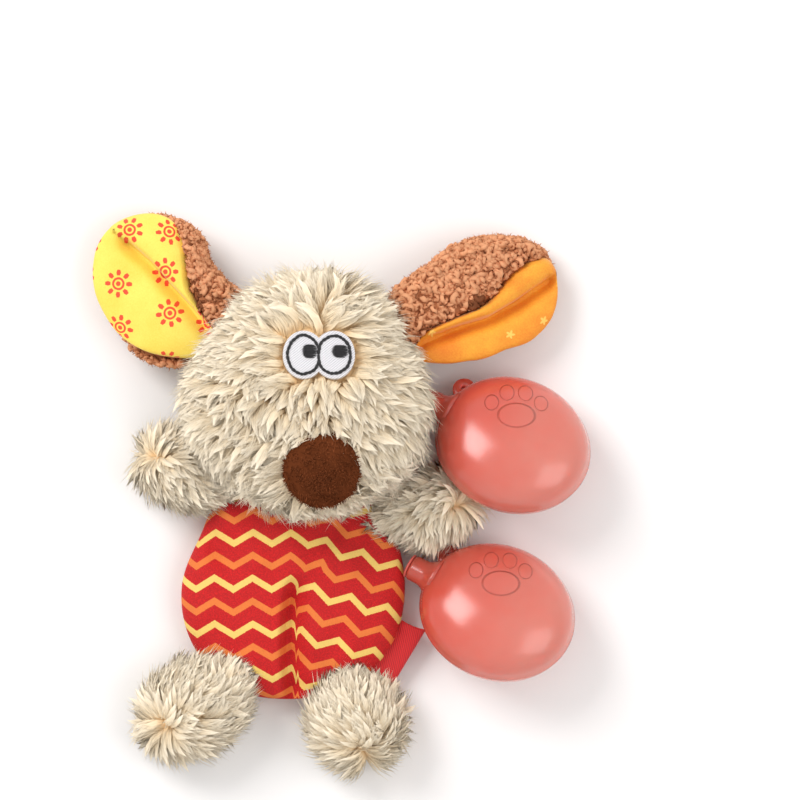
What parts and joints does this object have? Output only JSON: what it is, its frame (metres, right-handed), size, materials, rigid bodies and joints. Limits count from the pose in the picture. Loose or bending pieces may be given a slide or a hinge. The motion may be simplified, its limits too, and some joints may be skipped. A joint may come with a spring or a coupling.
{
  "type": "squeaky dog toy",
  "caption": "Small plush dog lying on its back, with folded fleece ears, a flat printed body, a squeaker in a pocket behind its head and spare squeakers beside it.",
  "frame": {"origin": "middle of the body's back, on the surface that the toy lies on", "axes": "+Y from the feet to the head, +Z out of the face, +X to the side with the spare squeakers"},
  "size_m": [0.1465, 0.1697, 0.0517],
  "materials": {
    "cream_plush": "long-pile plush",
    "printed_velour": "printed short-pile velour",
    "brown_fleece": "curly sherpa fleece",
    "yellow_lining": "printed velour",
    "orange_lining": "printed velour",
    "nose_plush": "short-pile plush",
    "white_cloth": "plain cloth",
    "fibre_fill": "loose fibre",
    "black_thread": "satin stitch",
    "white_thread": "satin stitch",
    "red_ribbon": "woven twill ribbon",
    "tape": "hook-and-loop tape",
    "bulb_plastic": "translucent soft plastic",
    "whistle_plastic": "moulded plastic",
    "reed_film": "thin film"
  },
  "bodies": {
    "body": {"body_front_panel": "printed_velour", "body_back_panel": "printed_velour"},
    "head": {"head_front_panel": "cream_plush", "head_back_panel": "cream_plush", "squeaker_pouch": "white_cloth", "pocket_loop_tape": "tape", "eye_outline_right": "black_thread", "eye_outline_left": "black_thread", "pupil_left": "black_thread", "pupil_right": "black_thread", "eye_patch": "white_thread", "nose_cover": "nose_plush", "nose_filling": "fibre_fill", "head_squeaker_bulb": "bulb_plastic", "head_squeaker_whistle": "whistle_plastic", "head_squeaker_reed": "reed_film"},
    "pocket_flap": {"pocket_flap": "cream_plush", "pocket_hook_tape": "tape"},
    "ear_left": {"ear_left": "brown_fleece", "ear_left_lining": "yellow_lining"},
    "ear_right": {"ear_right": "brown_fleece", "ear_right_lining": "orange_lining"},
    "arm_left": {"arm_left": "cream_plush"},
    "arm_right": {"arm_right": "cream_plush"},
    "leg_left": {"leg_left": "cream_plush"},
    "leg_right": {"leg_right": "cream_plush"},
    "side_label": {"side_label": "red_ribbon"},
    "spare_squeaker_upper": {"spare_squeaker_upper_bulb": "bulb_plastic", "spare_squeaker_upper_whistle": "whistle_plastic", "spare_squeaker_upper_reed": "reed_film"},
    "spare_squeaker_lower": {"spare_squeaker_lower_bulb": "bulb_plastic", "spare_squeaker_lower_whistle": "whistle_plastic", "spare_squeaker_lower_reed": "reed_film"}
  },
  "joints": [
    {"name": "head_nod", "type": "hinge", "parent": "body", "child": "head", "pos_m": [0.0039, 0.03182, 0.006], "axis": [1, 0, 0], "range_deg": [-35, 25]},
    {"name": "ear_left_flop", "type": "hinge", "parent": "head", "child": "ear_left", "pos_m": [-0.02135, 0.08171, 0.017], "axis": [0.4695, 0.8829, 0], "range_deg": [-12, 30]},
    {"name": "ear_right_flop", "type": "hinge", "parent": "head", "child": "ear_right", "pos_m": [0.03177, 0.08014, 0.017], "axis": [0.319, -0.9478, 0], "range_deg": [-12, 35]},
    {"name": "arm_left_swing", "type": "hinge", "parent": "body", "child": "arm_left", "pos_m": [-0.02393, 0.02848, 0.006], "axis": [0.4226, 0.9063, 0], "range_deg": [-35, 30]},
    {"name": "arm_right_swing", "type": "hinge", "parent": "body", "child": "arm_right", "pos_m": [0.02789, 0.02433, 0.006], "axis": [0.1736, -0.9848, 0], "range_deg": [-35, 30]},
    {"name": "leg_left_swing", "type": "hinge", "parent": "body", "child": "leg_left", "pos_m": [-0.02123, -0.02559, 0.006], "axis": [-0.5299, 0.848, 0], "range_deg": [-40, 60]},
    {"name": "leg_right_swing", "type": "hinge", "parent": "body", "child": "leg_right", "pos_m": [0.01716, -0.027, 0.006], "axis": [-0.9703, -0.2419, 0], "range_deg": [-40, 60]},
    {"name": "side_label_flick", "type": "hinge", "parent": "body", "child": "side_label", "pos_m": [0.02874, -0.01583, 0.006], "axis": [-0.515, -0.8572, 0], "range_deg": [-50, 50]},
    {"name": "pocket_flap_open", "type": "hinge", "parent": "head", "child": "pocket_flap", "pos_m": [0.0039, 0.06793, 0.0002], "axis": [1, 0, 0], "range_deg": [0, 120]},
    {"name": "spare_squeaker_upper_take", "type": "slide", "parent": "body", "child": "spare_squeaker_upper", "axis": [1, 0, 0], "range_m": [0, 0.04]},
    {"name": "spare_squeaker_lower_take", "type": "slide", "parent": "body", "child": "spare_squeaker_lower", "axis": [1, 0, 0], "range_m": [0, 0.04]}
  ]
}
